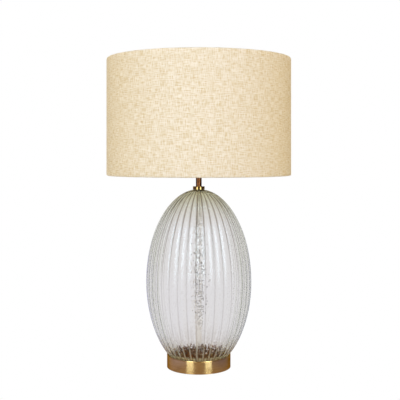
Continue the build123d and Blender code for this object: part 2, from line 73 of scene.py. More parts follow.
def add_node(owner, kind, inputs=None, out=None, stops=(), **settings):
    """Adds a shader node and returns one of its outputs; an input is a value or another node's output.
    Stops are a colour ramp's (position, colour) pairs."""
    node = owner.node_tree.nodes.new(kind)
    for name, value in settings.items():
        setattr(node, name, value)
    for _ in stops[2:]:
        node.color_ramp.elements.new(0.5)
    for number, (position, colour) in enumerate(stops):
        node.color_ramp.elements[number].position = position
        node.color_ramp.elements[number].color = colour
    sockets = {socket.identifier: socket for socket in node.inputs}
    for name, value in (inputs or {}).items():
        if isinstance(value, bpy.types.NodeSocket):
            owner.node_tree.links.new(value, sockets[name])
        else:
            sockets[name].default_value = value
    if out:
        return node.outputs[out]
    return next((socket for socket in node.outputs if socket.enabled), None)


def new_material(name):
    """An empty node material and its Object coordinates."""
    material = bpy.data.materials.new(name)
    material.use_nodes = True
    material.node_tree.nodes.clear()
    return material, add_node(material, "ShaderNodeTexCoord", out="Object")


def finish_material(material, surface):
    """Links the finished shader to the material's output."""
    add_node(material, "ShaderNodeOutputMaterial", {"Surface": surface})
    return material


def coat(piece, material):
    """Gives a piece one material all over."""
    piece.data.materials.clear()
    piece.data.materials.append(material)


def deselect_all():
    """Leaves edit mode and selects nothing."""
    if bpy.context.mode != "OBJECT":
        bpy.ops.object.mode_set(mode="OBJECT")
    bpy.ops.object.select_all(action="DESELECT")


def name_piece(name):
    """Names the active object and its mesh."""
    piece = bpy.context.object
    piece.name = name
    piece.data.name = name
    return piece


def pick(piece, test, kind="verts"):
    """In edit mode, selects the points, edges or faces that pass a test."""
    mesh = bmesh.from_edit_mesh(piece.data)
    bpy.ops.mesh.select_all(action="DESELECT")
    for item in getattr(mesh, kind):
        if test(item):
            item.select_set(True)
    mesh.select_flush_mode()
    bmesh.update_edit_mesh(piece.data)


def arc(centre, radius, start, end, steps):
    """Points (radius, height) round an arc; angles in degrees from outwards, counted upwards."""
    turns = [radians(start + (end - start) * step / steps) for step in range(steps + 1)]
    return [(centre[0] + radius * cos(turn), centre[1] + radius * sin(turn)) for turn in turns]


def draw_outline(name, outline):
    """Starts a piece, in edit mode, as a line through (radius, height) points on the lamp's right."""
    deselect_all()
    bpy.ops.mesh.primitive_plane_add(size=MM, location=(outline[0][0], 0, outline[0][1]), calc_uvs=False)
    piece = name_piece(name)
    bpy.ops.object.transform_apply(location=True)
    bpy.ops.object.mode_set(mode="EDIT")
    bpy.ops.mesh.merge(type="CENTER")
    for before, after in zip(outline, outline[1:]):
        step = (after[0] - before[0], 0, after[1] - before[1])
        bpy.ops.mesh.extrude_vertices_move(TRANSFORM_OT_translate={"value": step})
    return piece


def close_mesh(distance=MERGE_DISTANCE):
    """In edit mode, merges doubles, turns the faces outwards, and goes back to object mode."""
    bpy.ops.mesh.select_all(action="SELECT")
    bpy.ops.mesh.remove_doubles(threshold=distance)
    bpy.ops.mesh.normals_make_consistent(inside=False)
    bpy.ops.object.mode_set(mode="OBJECT")


def turned(name, outline, steps, closed=True):
    """A round piece: an outline of (radius, height) points spun about the lamp's axis."""
    piece = draw_outline(name, outline)
    if closed:
        pick(piece, lambda point: len(point.link_edges) == 1)
        bpy.ops.mesh.edge_face_add()
    bpy.ops.mesh.select_all(action="SELECT")
    bpy.ops.mesh.spin(steps=steps, angle=2 * pi, center=(0, 0, 0), axis=(0, 0, 1))
    close_mesh()
    bpy.ops.object.shade_smooth_by_angle(angle=SMOOTH_ANGLE)
    return piece


def seat(piece, body, slot, *replaced):
    """Lets a piece ride on its body in place of CAD nodes; its slot is not used."""
    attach(piece, body)
    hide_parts(*replaced)


# Camera, backdrop and light

CAMERA_PLACE = (0, -1.648, 0.4385)
CAMERA_SENSOR = 36
CAMERA_LENS = 71.58
CAMERA_SHIFT = (0.003, -0.113)
LIGHT_DISTANCE = 2.2
LIGHT_AIM = Vector((0, 0, 0.32))
SOFTBOX_HEIGHT = 0.9
SOFTBOX_SIZE = (1.5, 1.5)
STRIP_HEIGHT = 1.8
STRIP_TINT = (0.82, 1.03, 1.15)
FLOOR_SIZE = 14
FLOOR_GLOW_REACH = 160 * MM  # how far to each side the floor's glow changes its tint

# What the world sheds each way, as linear colours
WHITE = (1, 1, 1, 1)
NEUTRAL_LIGHT = (0.46, 0.47, 0.50, 1)
LEFT_LIGHT = (0.45, 0.31, 0.11, 1)
RIGHT_LIGHT = (0.40, 0.24, 0.03, 1)
ROOM = (0.22, 0.17, 0.13, 1)
ROOM_LEFT = (0.25, 0.22, 0.24, 1)
ROOM_RIGHT = (0.12, 0.10, 0.11, 1)
ROOM_BACK = (0.86, 0.86, 0.83, 1)
BEHIND_GLASS = (0.78, 0.76, 0.79, 1)

deselect_all()
bpy.ops.object.camera_add(location=CAMERA_PLACE, rotation=(pi / 2, 0, 0))
camera = bpy.context.object
camera.data.sensor_width = CAMERA_SENSOR
camera.data.lens = CAMERA_LENS
camera.data.shift_x, camera.data.shift_y = CAMERA_SHIFT
bpy.context.scene.camera = camera
bpy.context.scene.view_settings.view_transform = "Standard"


def studio_world():
    """White to the eye, and an even pale grey where it shows through the glass. What the metal mirrors is a
    dim room, cooler at the sides, and what lights the cloth is neutral from front and back and warm from the
    sides."""
    world = bpy.data.worlds.new("studio")
    world.use_nodes = True
    world.node_tree.nodes.clear()
    direction = add_node(world, "ShaderNodeTexCoord", out="Generated")
    seen = add_node(world, "ShaderNodeLightPath", out="Is Camera Ray")
    through = seen.node.outputs["Is Transmission Ray"]
    mirrored = seen.node.outputs["Is Glossy Ray"]
    across = add_node(world, "ShaderNodeSeparateXYZ", {"Vector": direction}, out="X")
    along = across.node.outputs["Y"]
    up = across.node.outputs["Z"]
    side = add_node(world, "ShaderNodeMapRange", {"Value": across, "From Min": -1.0, "From Max": 1.0})
    warm = add_node(world, "ShaderNodeValToRGB", {"Fac": side}, stops=[
        (0.0, LEFT_LIGHT), (0.38, NEUTRAL_LIGHT), (0.62, NEUTRAL_LIGHT), (1.0, RIGHT_LIGHT)])
    room = add_node(world, "ShaderNodeValToRGB", {"Fac": side}, stops=[
        (0.0, ROOM_LEFT), (0.4, ROOM), (0.6, ROOM), (1.0, ROOM_RIGHT)])
    behind = add_node(world, "ShaderNodeMapRange", {"Value": along, "From Min": 0.2, "From Max": 0.8})
    level = add_node(world, "ShaderNodeMapRange", {
        "Value": up, "From Min": 0.15, "From Max": 0.5, "To Min": behind, "To Max": 0.0})
    edged = add_node(world, "ShaderNodeMix", {
        "Factor_Float": level, "A_Color": room, "B_Color": ROOM_BACK}, data_type="RGBA")
    lit = add_node(world, "ShaderNodeMix", {
        "Factor_Float": mirrored, "A_Color": warm, "B_Color": edged}, data_type="RGBA")
    bent = add_node(world, "ShaderNodeMix", {
        "Factor_Float": through, "A_Color": lit, "B_Color": BEHIND_GLASS}, data_type="RGBA")
    colour = add_node(world, "ShaderNodeMix", {
        "Factor_Float": seen, "A_Color": bent, "B_Color": WHITE}, data_type="RGBA")
    surface = add_node(world, "ShaderNodeBackground", {"Color": colour, "Strength": 1.0})
    add_node(world, "ShaderNodeOutputWorld", {"Surface": surface})
    bpy.context.scene.world = world


def softbox(name, azimuth, height, size, power, colour, gloss_only=False):
    """Soft light that faces the lamp; azimuth in degrees from the camera's side, to the right."""
    deselect_all()
    turn = radians(azimuth)
    place = Vector((LIGHT_DISTANCE * sin(turn), -LIGHT_DISTANCE * cos(turn), height))
    bpy.ops.object.light_add(type="AREA", location=place)
    light = bpy.context.object
    light.name = name
    light.data.shape = "RECTANGLE"
    light.data.size, light.data.size_y = size
    light.data.energy = power
    light.data.color = colour
    light.rotation_euler = (LIGHT_AIM - place).to_track_quat("-Z", "Y").to_euler()
    light.visible_camera = False
    light.visible_transmission = False
    light.visible_diffuse = not gloss_only
    light.visible_glossy = gloss_only


def pale_floor():
    """Matt pale paint, white to the eye and clear from below. In the metal it shows as a soft glow, warm in
    the middle and cooler at the sides."""
    material, place = new_material("pale_floor")
    seen = add_node(material, "ShaderNodeLightPath", out="Is Camera Ray")
    pale = add_node(material, "ShaderNodeBsdfDiffuse", {"Color": linear("#C9C7C4")})
    side = add_node(material, "ShaderNodeSeparateXYZ", {"Vector": place}, out="X")
    aside = add_node(material, "ShaderNodeMapRange", {
        "Value": side, "From Min": -FLOOR_GLOW_REACH, "From Max": FLOOR_GLOW_REACH})
    tinted = add_node(material, "ShaderNodeValToRGB", {"Fac": aside}, stops=[
        (0.0, linear("#C0BCF6")), (0.35, linear("#B6A493")),
        (0.65, linear("#B6A493")), (1.0, linear("#8481B8"))])
    glow = add_node(material, "ShaderNodeEmission", {"Color": tinted, "Strength": 1.0})
    mirrored = add_node(material, "ShaderNodeMixShader", {
        "Fac": seen.node.outputs["Is Glossy Ray"], "Shader": pale, "Shader_001": glow})
    white = add_node(material, "ShaderNodeEmission", {"Color": WHITE, "Strength": 1.0})
    top = add_node(material, "ShaderNodeMixShader", {"Fac": seen, "Shader": mirrored, "Shader_001": white})
    under = add_node(material, "ShaderNodeNewGeometry", out="Backfacing")
    nothing = add_node(material, "ShaderNodeBsdfTransparent")
    return finish_material(material, add_node(material, "ShaderNodeMixShader", {
        "Fac": under, "Shader": top, "Shader_001": nothing}))


studio_world()
softbox("front_softbox", 0, SOFTBOX_HEIGHT, SOFTBOX_SIZE, power=17.6, colour=(0.97, 1.02, 1.20))
softbox("left_softbox", -60, SOFTBOX_HEIGHT, SOFTBOX_SIZE, power=13, colour=(0.95, 0.74, 0.32))
softbox("right_softbox", 60, SOFTBOX_HEIGHT, SOFTBOX_SIZE, power=10.4, colour=(0.97, 0.62, 0.0))
softbox("back_softbox", 180, SOFTBOX_HEIGHT, (2.2, 1.5), power=20, colour=(1.0, 1.0, 1.0))
softbox("left_strip", -32, STRIP_HEIGHT, (1.22, 4.0), power=122, colour=STRIP_TINT, gloss_only=True)
softbox("right_strip", 35, STRIP_HEIGHT, (1.16, 4.0), power=120, colour=STRIP_TINT, gloss_only=True)

deselect_all()
bpy.ops.mesh.primitive_plane_add(size=FLOOR_SIZE)
floor = name_piece("floor")
floor.visible_transmission = False
coat(floor, pale_floor())


# Materials

GLASS_MARKS = ("outside", "crease", "painted_foot_highlight", "foot_lean_and_painted_brown", "green")  # what the glass's points carry
SEED_SIZE = 1.8  # in millimetres, as all sizes in the materials are
SEED_TILT = 0.9
FOOT_TILT = 1.25  # how much more the seeds at the foot lean
GLOSS = 0.85
SEED_FADE = (0.03, 0.16)  # how far the glass turns from the eye while its seeds fade
GLOSS_FADE = (0.3, 0.45)  # and while its gloss fades
TUBE_SPAN = 400 * MM  # height over which the tube's painted dark lines come and go


def brushed_brass(name, light, dark, patina, roughness, anisotropic):
    """Brass brushed round the axis, antiqued and lacquered: fine level scratches, soft brown patina in
    patches."""
    material, place = new_material(name)
    stretched = add_node(material, "ShaderNodeMapping", {
        "Vector": place, "Scale": scale_of(83.33, 83.33, 0.3846)})
    scratches = add_node(material, "ShaderNodeTexNoise", {
        "Vector": stretched, "Scale": 1.0, "Detail": 4.0, "Roughness": 0.65}, out="Fac")
    wide = add_node(material, "ShaderNodeMapping", {"Vector": place, "Scale": scale_of(33.33, 33.33, 2.381)})
    bands = add_node(material, "ShaderNodeTexNoise", {"Vector": wide, "Scale": 1.0, "Detail": 2.0}, out="Fac")
    patches = add_node(material, "ShaderNodeTexNoise", {
        "Vector": place, "Scale": scale_of(18.18), "Detail": 3.0}, out="Fac")
    tone = add_node(material, "ShaderNodeMapRange", {"Value": bands, "From Min": 0.3, "From Max": 0.72})
    metal = add_node(material, "ShaderNodeMix", {
        "Factor_Float": tone, "A_Color": linear(dark), "B_Color": linear(light)}, data_type="RGBA")
    worn = add_node(material, "ShaderNodeMapRange", {
        "Value": patches, "From Min": 0.5, "From Max": 0.78, "To Max": 0.45})
    colour = add_node(material, "ShaderNodeMix", {
        "Factor_Float": worn, "A_Color": metal, "B_Color": linear(patina)}, data_type="RGBA")
    rough = add_node(material, "ShaderNodeMapRange", {
        "Value": scratches, "To Min": roughness - 0.02, "To Max": roughness + 0.02})
    upright = add_node(material, "ShaderNodeTangent", direction_type="RADIAL", axis="Z")
    return finish_material(material, add_node(material, "ShaderNodeBsdfPrincipled", {
        "Base Color": colour, "Metallic": 1.0, "Roughness": rough, "Anisotropic": anisotropic,
        "Anisotropic Rotation": 0.25, "Specular Tint": linear(dark), "Tangent": upright}))


def seeded_glass():
    """Clear ribbed soda glass, pressed in a mould. Its seeds, drawn coarser than real ones so that they show,
    break up what stands behind it where it faces the eye and at the foot. The olive lines in the creases are
    painted shade, standing in for the dark lines the real creases show by refraction, and the olive at the
    neck is a painted reflection of the collar and shade. Where the creases run out at the foot and along its
    edge the glass is pale and half matt, a painted highlight, and the flutes between them turn brown, a
    painted reflection of the brass base seen through the foot."""
    material, place = new_material("seeded_glass")
    outside, crease, painted_foot_highlight, foot_lean_and_painted_brown, green = [
        add_node(material, "ShaderNodeAttribute", attribute_name=name, out="Fac") for name in GLASS_MARKS]
    upright = add_node(material, "ShaderNodeNewGeometry", out="Normal")
    leaving = upright.node.outputs["Backfacing"]
    near_side = add_node(material, "ShaderNodeMapRange", {"Value": leaving, "To Min": outside, "To Max": 0.0})
    slanted = add_node(material, "ShaderNodeLayerWeight", {"Blend": 0.5}, out="Facing")

    # Seeds: each cell leans its own way
    seeds = add_node(material, "ShaderNodeTexVoronoi", {
        "Vector": place, "Scale": scale_of(SEED_SIZE)}, out="Color")
    lean = add_node(material, "ShaderNodeVectorMath", {
        "Vector": seeds, "Vector_001": (0.5, 0.5, 0.5)}, operation="SUBTRACT")
    steep = add_node(material, "ShaderNodeMath", {
        "Value": near_side, "Value_001": SEED_TILT}, operation="MULTIPLY")
    # the seeds lean more towards the foot, over the same band as the painted brown below
    strong = add_node(material, "ShaderNodeMapRange", {"Value": foot_lean_and_painted_brown, "To Max": FOOT_TILT})
    foot = add_node(material, "ShaderNodeMath", {"Value": strong, "Value_001": steep}, operation="MULTIPLY")
    depth = add_node(material, "ShaderNodeMapRange", {
        "Value": slanted, "From Min": SEED_FADE[0], "From Max": SEED_FADE[1],
        "To Min": steep, "To Max": foot})
    tilt = add_node(material, "ShaderNodeVectorMath", {"Vector": lean, "Scale": depth}, operation="SCALE")
    leant = add_node(material, "ShaderNodeVectorMath", {
        "Vector": upright, "Vector_001": tilt}, operation="ADD")
    pitted = add_node(material, "ShaderNodeVectorMath", {"Vector": leant}, operation="NORMALIZE")

    # Painted olive: painted shade in the creases, for the dark lines they show by refraction, and at the neck
    # a painted reflection of the collar and shade
    neck_painted_olive = add_node(material, "ShaderNodeMix", {
        "Factor_Float": green, "A_Color": linear("#FFFFFF"), "B_Color": linear("#BEBA62")}, data_type="RGBA")
    fading = add_node(material, "ShaderNodeMath", {
        "Value": near_side, "Value_001": green}, operation="MAXIMUM")
    shown = add_node(material, "ShaderNodeMath", {"Value": crease, "Value_001": fading}, operation="MULTIPLY")
    lined = add_node(material, "ShaderNodeMix", {
        "Factor_Float": shown, "A_Color": neck_painted_olive, "B_Color": linear("#5A4426")}, data_type="RGBA")

    # Painted brown at the foot, a painted reflection of the brass base seen through the glass, with a ragged
    # upper edge
    specks = add_node(material, "ShaderNodeTexNoise", {
        "Vector": place, "Scale": scale_of(2.5), "Detail": 1.0}, out="Fac")
    ragged = add_node(material, "ShaderNodeMath", {"Value": foot_lean_and_painted_brown, "Value_001": specks}, operation="ADD")
    far_side = add_node(material, "ShaderNodeMapRange", {"Value": near_side, "To Min": 0.35, "To Max": 1.0})
    browned = add_node(material, "ShaderNodeMapRange", {
        "Value": ragged, "From Min": 0.6, "From Max": 1.15, "To Max": far_side})
    warmed = add_node(material, "ShaderNodeMix", {
        "Factor_Float": browned, "A_Color": lined, "B_Color": linear("#7C5608")}, data_type="RGBA")

    # Painted highlight: pale and half matt where the creases run out at the foot and along its edge, standing
    # in for the glints and the glowing edge of the foot
    highlighted = add_node(material, "ShaderNodeMath", {
        "Value": painted_foot_highlight, "Value_001": near_side}, operation="MULTIPLY")
    colour = add_node(material, "ShaderNodeMix", {
        "Factor_Float": highlighted, "A_Color": warmed, "B_Color": linear("#E0E4C6")}, data_type="RGBA")
    clear = add_node(material, "ShaderNodeMapRange", {"Value": highlighted, "To Min": 1.0, "To Max": 0.35})

    # Light passes straight in to what the glass holds
    shading = add_node(material, "ShaderNodeLightPath", out="Is Shadow Ray")
    passing = add_node(material, "ShaderNodeMath", {
        "Value": shading, "Value_001": shading.node.outputs["Is Diffuse Ray"]}, operation="MAXIMUM")
    solid = add_node(material, "ShaderNodeMath", {"Value": 1.0, "Value_001": passing}, operation="SUBTRACT")

    # Soft gloss where the outside faces the eye
    gloss = add_node(material, "ShaderNodeMath", {
        "Value": near_side, "Value_001": GLOSS}, operation="MULTIPLY")
    polish = add_node(material, "ShaderNodeMapRange", {
        "Value": slanted, "From Min": GLOSS_FADE[0], "From Max": GLOSS_FADE[1],
        "To Min": gloss, "To Max": 0.0})
    surface = add_node(material, "ShaderNodeBsdfPrincipled", {
        "Base Color": colour, "Roughness": 0.03, "IOR": 1.22, "Specular IOR Level": 0.0,
        "Specular Tint": leaving, "Alpha": solid, "Transmission Weight": clear, "Normal": pitted,
        "Coat Weight": polish, "Coat Roughness": 0.28, "Coat IOR": 1.5})
    body = add_node(material, "ShaderNodeVolumeAbsorption", {"Color": linear("#D8E0BE"), "Density": 16.0})
    add_node(material, "ShaderNodeOutputMaterial", {"Surface": surface, "Volume": body})
    return material


def slub_linen():
    """Plain-woven natural linen, laminated tight: cream and straw yarns that swell into slubs both ways.
    Yarns are drawn about three times as coarse as real ones, so that they show a step away."""
    material, _ = new_material("slub_linen")
    cloth = add_node(material, "ShaderNodeTexCoord", out="UV")
    layers = []
    for along, across in ((15, 1.6), (1.6, 12)):
        laid = add_node(material, "ShaderNodeMapping", {
            "Vector": cloth, "Location": (along, across, 0), "Scale": scale_of(along, across, 1 / MM)})
        yarns = add_node(material, "ShaderNodeTexNoise", {
            "Vector": laid, "Scale": 1.0, "Detail": 1.5, "Roughness": 0.55}, out="Fac", noise_dimensions="2D")
        layers.append(yarns)
    woven = add_node(material, "ShaderNodeMix", {
        "Factor_Float": 0.5, "A_Float": layers[0], "B_Float": layers[1]})
    clouds = add_node(material, "ShaderNodeTexNoise", {
        "Vector": cloth, "Scale": scale_of(30), "Detail": 3.0}, out="Fac", noise_dimensions="2D")
    uneven = add_node(material, "ShaderNodeMix", {"Factor_Float": 0.06, "A_Float": woven, "B_Float": clouds})
    colour = add_node(material, "ShaderNodeValToRGB", {"Fac": uneven}, stops=[
        (0.36, linear("#FFFBF0")), (0.46, linear("#F7F1E2")),
        (0.54, linear("#EDE5CF")), (0.66, linear("#DFCFA6"))])
    raised = add_node(material, "ShaderNodeBump", {"Height": woven, "Strength": 0.25, "Distance": 0.4 * MM})
    return finish_material(material, add_node(material, "ShaderNodeBsdfPrincipled", {
        "Base Color": colour, "Roughness": 0.92, "Specular IOR Level": 0.2, "Sheen Weight": 0.1,
        "Sheen Roughness": 0.5, "Normal": raised}))


def speckled(name, light, dark, grain, roughness, metallic=0.0, bump=0.1, shine=0.5):
    """A plain finish with its own grain: grain is the real size of a speck, in millimetres."""
    material, place = new_material(name)
    specks = add_node(material, "ShaderNodeTexNoise", {
        "Vector": place, "Scale": scale_of(grain), "Detail": 3.0, "Roughness": 0.6}, out="Fac")
    tone = add_node(material, "ShaderNodeMapRange", {"Value": specks, "From Min": 0.3, "From Max": 0.7})
    colour = add_node(material, "ShaderNodeMix", {
        "Factor_Float": tone, "A_Color": linear(dark), "B_Color": linear(light)}, data_type="RGBA")
    rough = add_node(material, "ShaderNodeMapRange", {
        "Value": specks, "To Min": roughness * 0.8, "To Max": min(1.0, roughness * 1.2)})
    uneven = add_node(material, "ShaderNodeBump", {
        "Height": specks, "Strength": bump, "Distance": 0.1 * grain * MM})
    return finish_material(material, add_node(material, "ShaderNodeBsdfPrincipled", {
        "Base Color": colour, "Metallic": metallic, "Roughness": rough, "Specular IOR Level": shine,
        "Normal": uneven}))


def tube_with_painted_lines():
    """Nickel-plated tube, darkest half way up: dark, broken lines some millimetres wide run along it, painted
    shade that stands in for the dark reflections it shows through the glass.
    """
    material, place = new_material("nickel_painted_lines")
    stretched = add_node(material, "ShaderNodeMapping", {"Vector": place, "Scale": scale_of(4, 4, 333.3)})
    lines = add_node(material, "ShaderNodeTexNoise", {
        "Vector": stretched, "Scale": 1.0, "Detail": 1.0}, out="Fac")
    specks = add_node(material, "ShaderNodeTexNoise", {
        "Vector": place, "Scale": scale_of(2.6), "Detail": 0.0}, out="Fac")
    dotted = add_node(material, "ShaderNodeMix", {"Factor_Float": 0.5, "A_Float": lines, "B_Float": specks})
    height = add_node(material, "ShaderNodeSeparateXYZ", {"Vector": place}, out="Z")
    level = add_node(material, "ShaderNodeMapRange", {"Value": height, "From Max": TUBE_SPAN})
    depth = add_node(material, "ShaderNodeValToRGB", {"Fac": level}, stops=[
        (0.18, (0, 0, 0, 1)), (0.28, WHITE), (0.5, WHITE), (0.85, (0.35, 0.35, 0.35, 1))])
    dark = add_node(material, "ShaderNodeMapRange", {
        "Value": dotted, "From Min": 0.51, "From Max": 0.57, "To Max": depth})
    colour = add_node(material, "ShaderNodeMix", {
        "Factor_Float": dark, "A_Color": linear("#F1ECE4"), "B_Color": linear("#33291D")}, data_type="RGBA")
    return finish_material(material, add_node(material, "ShaderNodeBsdfPrincipled", {
        "Base Color": colour, "Metallic": 1.0, "Roughness": 0.2}))


# Antiqued brass of the base: warm gold, its highlights drawn out upright by the brushing
antique_brass = brushed_brass(
    "antique_brass", "#D6B47C", "#C7A268", "#9A7449", roughness=0.24, anisotropic=1.0)
# Polished brass of the collar: deep gold with small, sharp highlights
polished_brass = brushed_brass(
    "polished_brass", "#A98A52", "#7A5A30", "#432A14", roughness=0.07, anisotropic=0.0)
# Darkened brass of the neck: red brown, with one bright line down each side
dark_brass = brushed_brass(
    "dark_brass", "#8A5430", "#5A341A", "#2C1A0E", roughness=0.17, anisotropic=0.8)
# Brown lacquer inside the base: dark amber, without shine, seen through the foot of the glass
brown_lacquer = speckled("brown_lacquer", "#94601A", "#4A2E0A", grain=3.0, roughness=0.85, shine=0.0)
clear_glass = seeded_glass()
linen = slub_linen()
finishes = {
    "antique_brass": antique_brass,
    "dark_brass": dark_brass,
    "clear_glass": clear_glass,
    "linen": linen,
    "nickel_tube": tube_with_painted_lines(),
    # Stamped brass, left bare: pale gold and satin
    "bare_brass": speckled("stamped_brass", "#D9B872", "#BD9850", grain=3.0, roughness=0.28, metallic=1.0),
    # Zinc plate on steel: cool grey, slightly cloudy
    "zinc_steel": speckled("zinc_plate", "#C9CDD0", "#A4A9AE", grain=2.0, roughness=0.35, metallic=1.0),
    # Cast iron under black paint: dull and grainy
    "cast_weight": speckled("painted_cast_iron", "#2E2E2D", "#1E1E1D", grain=1.5, roughness=0.6, bump=0.5),
    # Moulded rubber: brown and dull
    "soft_rubber": speckled("moulded_rubber", "#6B5233", "#4A3722", grain=1.0, roughness=0.7),
    # Pressed wool felt: dark brown, fully matt, with a hairy grain
    "felt": speckled("wool_felt", "#4A4238", "#2E2922", grain=0.8, roughness=0.98, bump=0.8),
    # Rolled styrene film: smooth cream with a soft sheen
    "shade_film": speckled("styrene_film", "#F6F1E6", "#EFE8D9", grain=12.0, roughness=0.45),
    # Powder coat on wire: off-white with a fine orange peel
    "white_wire": speckled("powder_coat", "#EFEDE6", "#E2DFD6", grain=0.8, roughness=0.45, bump=0.4),
    # Moulded phenolic: black and glossy
    "black_phenolic": speckled("phenolic", "#1F1C1A", "#131110", grain=2.5, roughness=0.3),
    # Moulded nylon: black and satin
    "bush_nylon": speckled("moulded_nylon", "#262625", "#191919", grain=1.2, roughness=0.5),
    # Rolled aluminium sheet: bright, pale and soft
    "cap_aluminium": speckled(
        "rolled_aluminium", "#D9DADC", "#BFC1C4", grain=2.0, roughness=0.3, metallic=1.0),
    # White polycarbonate of the bulb's housing: clean and half glossy
    "bulb_body": speckled("white_polycarbonate", "#F4F4F1", "#ECECE8", grain=3.0, roughness=0.35),
    # Opal polycarbonate of the bulb: milky and glossy
    "opal_globe": speckled("opal_polycarbonate", "#FBFAF6", "#F4F2EC", grain=6.0, roughness=0.25),
    # White solder mask: even and half matt
    "led_board": speckled("solder_mask", "#F0F1EA", "#E4E6DC", grain=2.0, roughness=0.4),
}
for subpart in record["subparts"]:
    coat(nodes[subpart["node"]], finishes[subpart["material_slot"]])
coat(nodes["neck_collar"], polished_brass)
coat(nodes["seat_plate"], brown_lacquer)


# Glass body

GLASS_FOOT_RADIUS = 55.3 * MM
GLASS_DROP = 184 * MM  # half axis of the egg below the equator
GLASS_EQUATOR_RADIUS = 108.8 * MM
GLASS_TOP_RADIUS = 12.4 * MM
GLASS_BORE_RADIUS = 6.5 * MM
GLASS_WALL = 4 * MM
GLASS_MERGE_DISTANCE = 0.01 * MM
FLUTES = 36
FLUTE_DEPTH = 2 * MM
FLUTE_STEPS = 16
HALF_FLUTE = FLUTE_STEPS // 2
FLUTE_TURN = 2  # degrees from the front to the nearest crest
FIRST_CREST = radians(FLUTE_TURN - 90)
CREASE_FILL = 0.4 * MM  # the mould leaves the crease a little round
OUTER_RINGS = 56
INNER_RINGS = 44

# Where the painted shade, highlight and brown lie; a start is a share of the way from crest to crease
CREASE_START = 0.78
CREASE_WIDENING = 0.35  # how much wider the creases' tint gets towards the neck
# painted shade in the creases: how strong it is, and how much stronger towards the neck
CREASE_TINT = 0.4
CREASE_TINT_RISE = 0.9  # how much stronger it gets towards the neck
# painted olive at the neck, a painted reflection of the collar and shade: where it starts, how strong it is,
# how it grows
NECK_START = 0.6  # share of the way from equator to neck
NECK_TINT = 0.72
NECK_CURVE = 1.5
# Painted highlight at the foot: where it starts across the flute, how high it reaches, and the height of its
# edge line
HIGHLIGHT_START = 0.6
HIGHLIGHT_HEIGHT = 52 * MM
HIGHLIGHT_EDGE = 14 * MM
HIGHLIGHT_EDGE_FADE = 0.7  # how much the painted highlight's edge fades from crest to crease
# how high the foot's painted brown, a painted reflection of the brass base, and the seeds' extra lean reach
FOOT_LEAN_AND_BROWN_HEIGHT = 64 * MM


def egg_profile(equator, drop, rise, foot_radius, top_radius, z_equator, rings):
    """Points (radius, height) up the egg, two half ellipses that meet at the equator."""
    low, high = -acos(foot_radius / equator), acos(top_radius / equator)
    angles = [low + (high - low) * ring / rings for ring in range(rings + 1)]
    return [(equator * cos(angle), z_equator + (drop if angle < 0 else rise) * sin(angle))
            for angle in angles]


def flute_share(step):
    """Radius of a flute over that of its crest, at a step from the crest; the flute is one arc, its crease
    rounded."""
    valley = 1 - FLUTE_DEPTH / GLASS_EQUATOR_RADIUS
    half = pi / FLUTES
    centre = (1 - valley ** 2) / (2 * (1 - valley * cos(half)))
    turn = half * abs(step) / HALF_FLUTE
    fill = CREASE_FILL / GLASS_EQUATOR_RADIUS if abs(step) == HALF_FLUTE else 0
    return centre * cos(turn) + sqrt((1 - centre) ** 2 - (centre * sin(turn)) ** 2) + fill


def raise_rings(profile):
    """Extrudes the selected ring through the rest of a profile of (radius, height)."""
    for (radius, height), (next_radius, next_height) in zip(profile, profile[1:]):
        share = next_radius / radius
        bpy.ops.mesh.extrude_region_move(TRANSFORM_OT_translate={"value": (0, 0, next_height - height)})
        bpy.ops.transform.resize(value=(share, share, 1), center_override=(0, 0, next_height))


def flute_ring(piece):
    """Draws the first, round ring in to the flutes."""
    pitch = 2 * pi / (FLUTES * FLUTE_STEPS)

    def step_of(point):
        turn = round((atan2(point.co.y, point.co.x) - FIRST_CREST) / pitch)
        return (turn + HALF_FLUTE) % FLUTE_STEPS - HALF_FLUTE

    for step in range(-HALF_FLUTE, HALF_FLUTE):
        pick(piece, lambda point: step_of(point) == step)
        bpy.ops.transform.resize(value=(flute_share(step), flute_share(step), 1), center_override=(0, 0, 0))
    bpy.ops.mesh.select_all(action="SELECT")


def mark_glass(glass, z_equator, rise):
    """Marks which points lie on the outside, and how much each shows of the painted shade in the creases, of
    the painted highlight along the foot and in the creases that run down to it, of the painted brown between
    them, a painted reflection of the brass base, and of the painted olive at the neck, a painted reflection
    of the collar and shade."""
    marks = {name: [] for name in GLASS_MARKS}
    low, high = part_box("glass_body")
    for point in glass.data.vertices:
        height = point.co.z - z_equator
        over_foot = point.co.z - low.z
        half = (rise if height > 0 else GLASS_DROP) - GLASS_WALL
        inner = (GLASS_EQUATOR_RADIUS - GLASS_WALL) * sqrt(max(0, 1 - (height / half) ** 2))
        is_out = point.co.xy.length > inner + GLASS_WALL / 8
        turn = (atan2(point.co.y, point.co.x) - FIRST_CREST) * FLUTES / (2 * pi)
        aside = 2 * abs(turn - round(turn))
        up = max(0, height / (high.z - z_equator))
        start = CREASE_START * (1 - CREASE_WIDENING * up)
        near = max(0, (aside - start) / (1 - start))
        highlight_across = max(0, (aside - HIGHLIGHT_START) / (1 - HIGHLIGHT_START))
        foot = max(0, 1 - over_foot / HIGHLIGHT_HEIGHT)
        edge = (over_foot < HIGHLIGHT_EDGE) * (1 - HIGHLIGHT_EDGE_FADE * aside)
        neck = max(0, (up - NECK_START) / (1 - NECK_START))
        marks["outside"].append(float(is_out))
        marks["crease"].append(is_out * min(1, near * (CREASE_TINT + CREASE_TINT_RISE * up)))
        marks["green"].append(is_out * NECK_TINT * neck ** NECK_CURVE)
        marks["painted_foot_highlight"].append(is_out * max(edge, highlight_across * sqrt(foot)))
        marks["foot_lean_and_painted_brown"].append(is_out * max(0, 1 - over_foot / FOOT_LEAN_AND_BROWN_HEIGHT) * (1 - highlight_across))
    for name, values in marks.items():
        glass.data.attributes.new(name, "FLOAT", "POINT").data.foreach_set("value", values)


